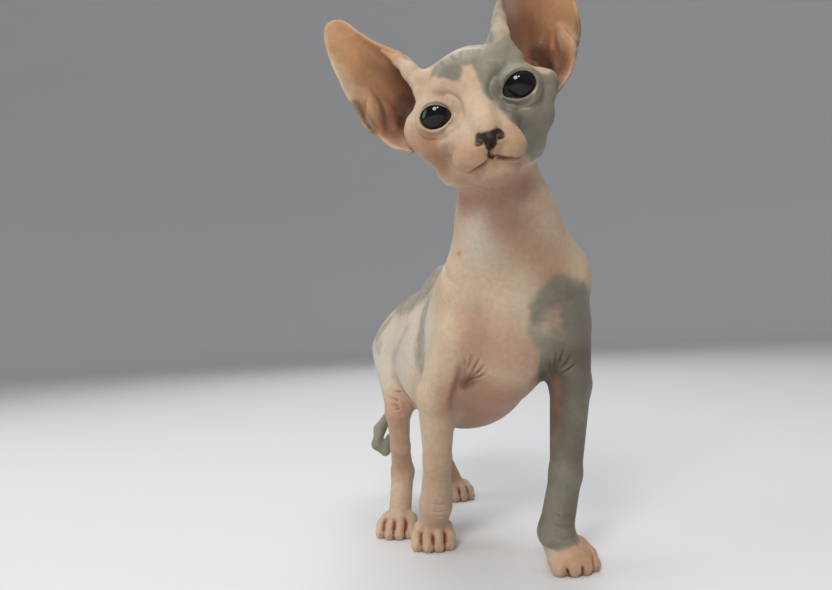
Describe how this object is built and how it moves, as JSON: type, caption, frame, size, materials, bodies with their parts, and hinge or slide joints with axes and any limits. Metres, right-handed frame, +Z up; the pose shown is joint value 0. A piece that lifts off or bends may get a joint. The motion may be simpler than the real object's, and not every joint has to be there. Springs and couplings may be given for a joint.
{
  "type": "sphynx cat",
  "caption": "Hairless sphynx kitten standing with its head tilted and one forefoot set forward, a still life-size model that rests on its own paws.",
  "frame": {"origin": "on the floor, under the middle of the bounding box", "axes": "+Z up, the kitten faces -Y, +X is its left side"},
  "size_m": [0.1271, 0.2469, 0.2702],
  "materials": {
    "skin": "bare warm skin, cream to pink, satin",
    "grey_skin": "bare grey skin, satin",
    "ear_skin": "thin tan to pink skin, satin",
    "eye": "wet and glossy"
  },
  "bodies": {
    "root": {"head": "skin", "neck": "skin", "trunk": "skin", "tail_base": "grey_skin", "tail_mid": "grey_skin", "tail_tip": "grey_skin", "ear_left": "ear_skin", "ear_right": "ear_skin", "eye_left": "eye", "eye_right": "eye", "foreleg_left": "grey_skin", "foreleg_right": "skin", "forepaw_left": "skin", "forepaw_right": "skin", "thigh_left": "skin", "thigh_right": "skin", "shank_left": "skin", "shank_right": "skin", "hindpaw_left": "skin", "hindpaw_right": "skin"}
  },
  "joints": []
}
